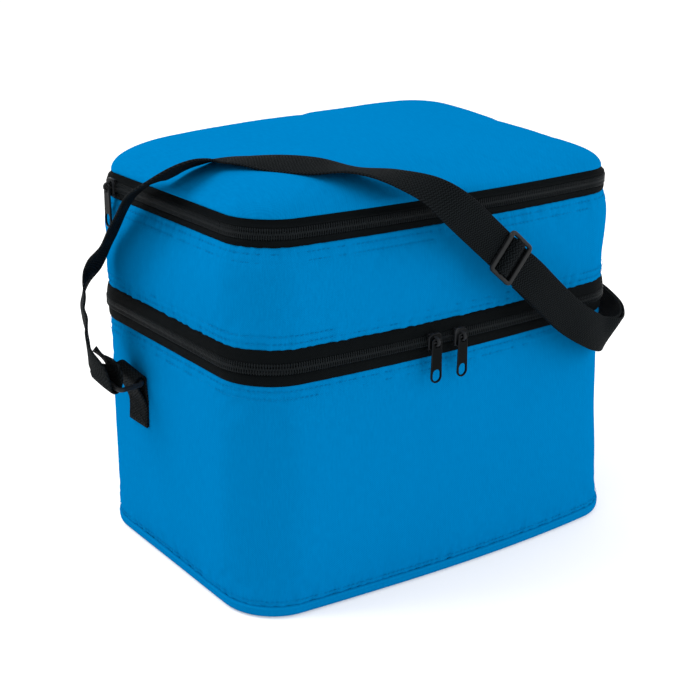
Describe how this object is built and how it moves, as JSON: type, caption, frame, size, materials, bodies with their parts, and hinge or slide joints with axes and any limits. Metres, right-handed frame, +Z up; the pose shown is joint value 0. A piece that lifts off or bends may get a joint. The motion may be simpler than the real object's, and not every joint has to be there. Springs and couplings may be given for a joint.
{
  "type": "insulated cooler bag",
  "caption": "Soft insulated cooler bag with a deep lower compartment, a shallow hinged upper compartment, a domed lid, coil zips and a webbing shoulder strap.",
  "frame": {"origin": "centre of the base on the floor", "axes": "+Z up, -Y towards the front with the two zip pulls, +X to the right seen from the front"},
  "size_m": [0.3478, 0.2268, 0.258],
  "materials": {
    "blue_fabric": "woven polyester, matt",
    "black_tape": "zip tape",
    "black_coil": "nylon coil, satin",
    "webbing": "woven webbing",
    "foam": "closed-cell foam",
    "lining": "foil-backed film, satin",
    "board": "stiffener board",
    "moulded_black": "satin moulded plastic",
    "painted_metal": "black enamelled zinc"
  },
  "bodies": {
    "lower_compartment": {"base_fabric": "blue_fabric", "base_board": "board", "base_foam": "foam", "lower_wall_fabric": "blue_fabric", "lower_wall_foam": "foam", "lower_lining": "lining", "lower_zip_tape_below": "black_tape", "lower_zip_coil_below": "black_coil", "lower_hinge_strip": "black_tape", "strap_tab_left": "webbing", "strap_tab_right": "webbing", "strap_ring_left": "moulded_black", "strap_ring_right": "moulded_black"},
    "upper_compartment": {"lower_zip_tape_above": "black_tape", "lower_zip_coil_above": "black_coil", "divider_cover": "lining", "divider_foam": "foam", "upper_wall_fabric": "blue_fabric", "upper_wall_foam": "foam", "upper_lining": "lining", "upper_zip_tape_below": "black_tape", "upper_zip_coil_below": "black_coil", "upper_hinge_strip": "black_tape"},
    "lid": {"upper_zip_tape_above": "black_tape", "upper_zip_coil_above": "black_coil", "lid_fabric": "blue_fabric", "lid_foam": "foam", "lid_lining": "lining"},
    "lower_slider_left": {"lower_slider_left": "painted_metal"},
    "lower_pull_left": {"lower_pull_left": "painted_metal"},
    "lower_slider_right": {"lower_slider_right": "painted_metal"},
    "lower_pull_right": {"lower_pull_right": "painted_metal"},
    "upper_slider": {"upper_slider": "painted_metal"},
    "upper_pull": {"upper_pull": "painted_metal"},
    "shoulder_strap": {"shoulder_strap": "webbing"},
    "strap_slide": {"strap_slide": "moulded_black"}
  },
  "joints": [
    {"name": "upper_compartment_hinge", "type": "hinge", "parent": "lower_compartment", "child": "upper_compartment", "pos_m": [0, 0.1035, 0.1535], "axis": [-1, 0, 0], "range_deg": [0, 100], "deforming": ["lower_hinge_strip", "shoulder_strap"]},
    {"name": "lid_hinge", "type": "hinge", "parent": "upper_compartment", "child": "lid", "pos_m": [0, 0.098, 0.2275], "axis": [-1, 0, 0], "range_deg": [0, 110], "deforming": ["upper_hinge_strip", "shoulder_strap"]},
    {"name": "lower_slider_left_run", "type": "slide", "parent": "lower_compartment", "child": "lower_slider_left", "axis": [-0.9989, 0.0469, 0], "range_m": [0, 0.069]},
    {"name": "lower_pull_left_swing", "type": "hinge", "parent": "lower_slider_left", "child": "lower_pull_left", "pos_m": [-0.02481, -0.10876, 0.1541], "axis": [-0.9989, 0.0469, 0], "range_deg": [0, 160]},
    {"name": "lower_slider_right_run", "type": "slide", "parent": "lower_compartment", "child": "lower_slider_right", "axis": [0.9995, 0.031, 0], "range_m": [0, 0.089]},
    {"name": "lower_pull_right_swing", "type": "hinge", "parent": "lower_slider_right", "child": "lower_pull_right", "pos_m": [-0.00546, -0.10898, 0.1541], "axis": [-0.9995, -0.031, 0], "range_deg": [0, 160]},
    {"name": "upper_slider_run", "type": "slide", "parent": "upper_compartment", "child": "upper_slider", "axis": [0, -1, 0], "range_m": [0, 0.116]},
    {"name": "upper_pull_swing", "type": "hinge", "parent": "upper_slider", "child": "upper_pull", "pos_m": [-0.1437, 0.0605, 0.2281], "axis": [0, 1, 0], "range_deg": [0, 160]},
    {"name": "strap_lift", "type": "slide", "parent": "lower_compartment", "child": "shoulder_strap", "axis": [0, 0, 1], "range_m": [0, 0.05], "deforming": ["shoulder_strap"]},
    {"name": "strap_slide_run", "type": "slide", "parent": "shoulder_strap", "child": "strap_slide", "axis": [-0.7625, 0, 0.647], "range_m": [0, 0.025], "deforming": ["shoulder_strap"]}
  ]
}
